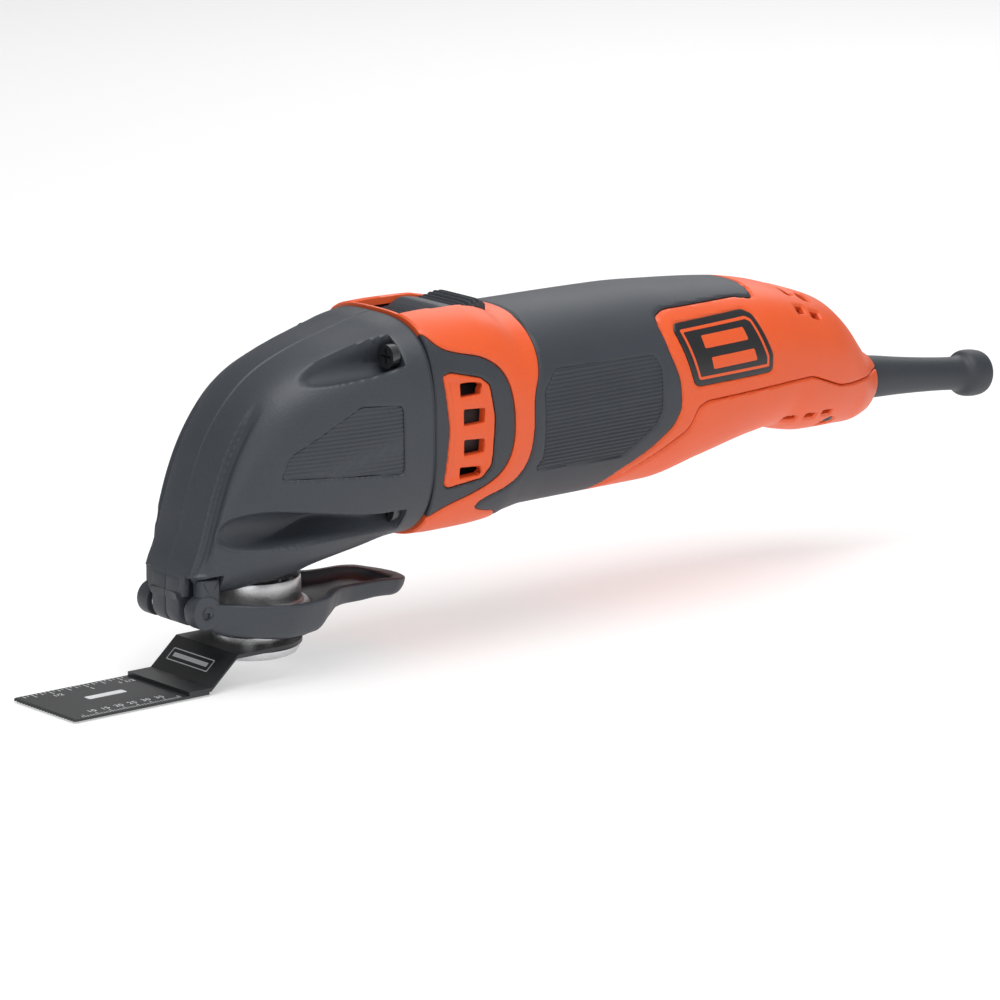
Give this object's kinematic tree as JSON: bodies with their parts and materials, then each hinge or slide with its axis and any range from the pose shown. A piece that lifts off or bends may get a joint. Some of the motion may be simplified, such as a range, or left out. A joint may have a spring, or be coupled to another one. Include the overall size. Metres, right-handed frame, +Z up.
{
  "type": "oscillating multi tool",
  "caption": "Corded hand-held oscillating multi tool with a drooping gearcase nose, squeeze lever clamp, slide switch and a cranked wood blade.",
  "frame": {"origin": "on the spindle axis, in the plane where the accessory seats against the spindle flange", "axes": "+X rearwards along the motor axis to the cord, +Z up along the spindle, -Y the tool's left side"},
  "size_m": [0.384, 0.0634, 0.1076],
  "materials": {
    "case_plastic": "moulded, fine grain",
    "orange_plastic": "moulded, satin",
    "grip_rubber": "soft touch, fine ribs",
    "label_film": "printed, satin",
    "cast_metal": "cast, fine blasted",
    "steel": "machined",
    "dark_steel": "black painted, printed scale",
    "screw_steel": "black oxide",
    "boot_rubber": "moulded",
    "inner_plastic": "moulded, glass filled",
    "laminations": "stacked sheet",
    "copper": "enamelled wire",
    "carbon": "carbon",
    "brass": "stamped"
  },
  "bodies": {
    "housing": {"gearcase_left": "case_plastic", "gearcase_right": "case_plastic", "gearcase_screws": "screw_steel", "gearcase_gasket": "grip_rubber", "bearing_collar": "cast_metal", "spindle_ball_bearing": "steel", "spindle_needle_bearing": "steel", "rocker_pin": "steel", "lever_pin": "steel", "lever_return_springs": "steel", "motor_housing": "inner_plastic", "bearing_plate": "cast_metal", "front_motor_bearing": "steel", "rear_motor_bearing": "steel", "stator_core": "laminations", "stator_windings": "copper", "brush_holders": "brass", "carbon_brushes": "carbon", "brush_springs": "steel", "front_collar": "orange_plastic", "vent_panel_left": "case_plastic", "vent_panel_right": "case_plastic", "vent_grille_left": "orange_plastic", "vent_grille_right": "orange_plastic", "grip_sleeve": "grip_rubber", "rear_cover_upper": "orange_plastic", "rear_cover_lower": "orange_plastic", "cover_screws": "screw_steel", "label_plate_left": "label_film", "label_plate_right": "label_film", "cord_boot": "boot_rubber", "cord_clamp": "inner_plastic", "cord_clamp_screws": "screw_steel", "switch_module": "inner_plastic", "suppression_capacitor": "inner_plastic"},
    "rotor": {"motor_shaft": "steel", "eccentric_bearing": "steel", "counterweight": "steel", "cooling_fan": "inner_plastic", "armature_core": "laminations", "armature_winding": "copper", "commutator": "copper"},
    "spindle": {"spindle": "steel", "spring_seat": "steel", "rocker_fork": "steel", "spindle_circlip": "steel", "clamp_spring": "steel", "blade_shank": "dark_steel", "cutting_blade": "dark_steel"},
    "clamp": {"clamp_flange": "steel", "clamp_rod": "steel", "clamp_cross_pin": "steel", "thrust_ring": "steel"},
    "rocker": {"release_rocker": "steel"},
    "lever": {"clamp_lever": "case_plastic"},
    "switch": {"switch_button": "case_plastic", "switch_link": "inner_plastic"}
  },
  "joints": [
    {"name": "lever_squeeze", "type": "hinge", "parent": "housing", "child": "lever", "pos_m": [-0.027, 0, 0.0143], "axis": [0, -1, 0], "range_deg": [0, 8], "stiffness_Nm_per_rad": 0.8, "springref_deg": -17.19},
    {"name": "rocker_tilt", "type": "hinge", "parent": "housing", "child": "rocker", "pos_m": [-0.0195, 0, 0.0335], "axis": [0, 1, 0], "range_deg": [0, 8.6]},
    {"name": "spindle_oscillation", "type": "hinge", "parent": "housing", "child": "spindle", "pos_m": [0, 0, 0.02], "axis": [0, 0, 1], "range_deg": [-1.4, 1.4]},
    {"name": "clamp_release", "type": "slide", "parent": "spindle", "child": "clamp", "axis": [0, 0, -1], "range_m": [0, 0.0028], "deforming": ["clamp_spring"]},
    {"name": "motor_spin", "type": "hinge", "parent": "housing", "child": "rotor", "pos_m": [0.1, 0, 0.06], "axis": [1, 0, 0], "continuous": true},
    {"name": "switch_slide", "type": "slide", "parent": "housing", "child": "switch", "axis": [-1, 0, 0], "range_m": [0, 0.005]}
  ],
  "couplings": [
    {"joint": "rocker_tilt", "follows": "lever_squeeze", "ratio": 1},
    {"joint": "clamp_release", "follows": "lever_squeeze", "m_per_rad": 0.0195}
  ]
}
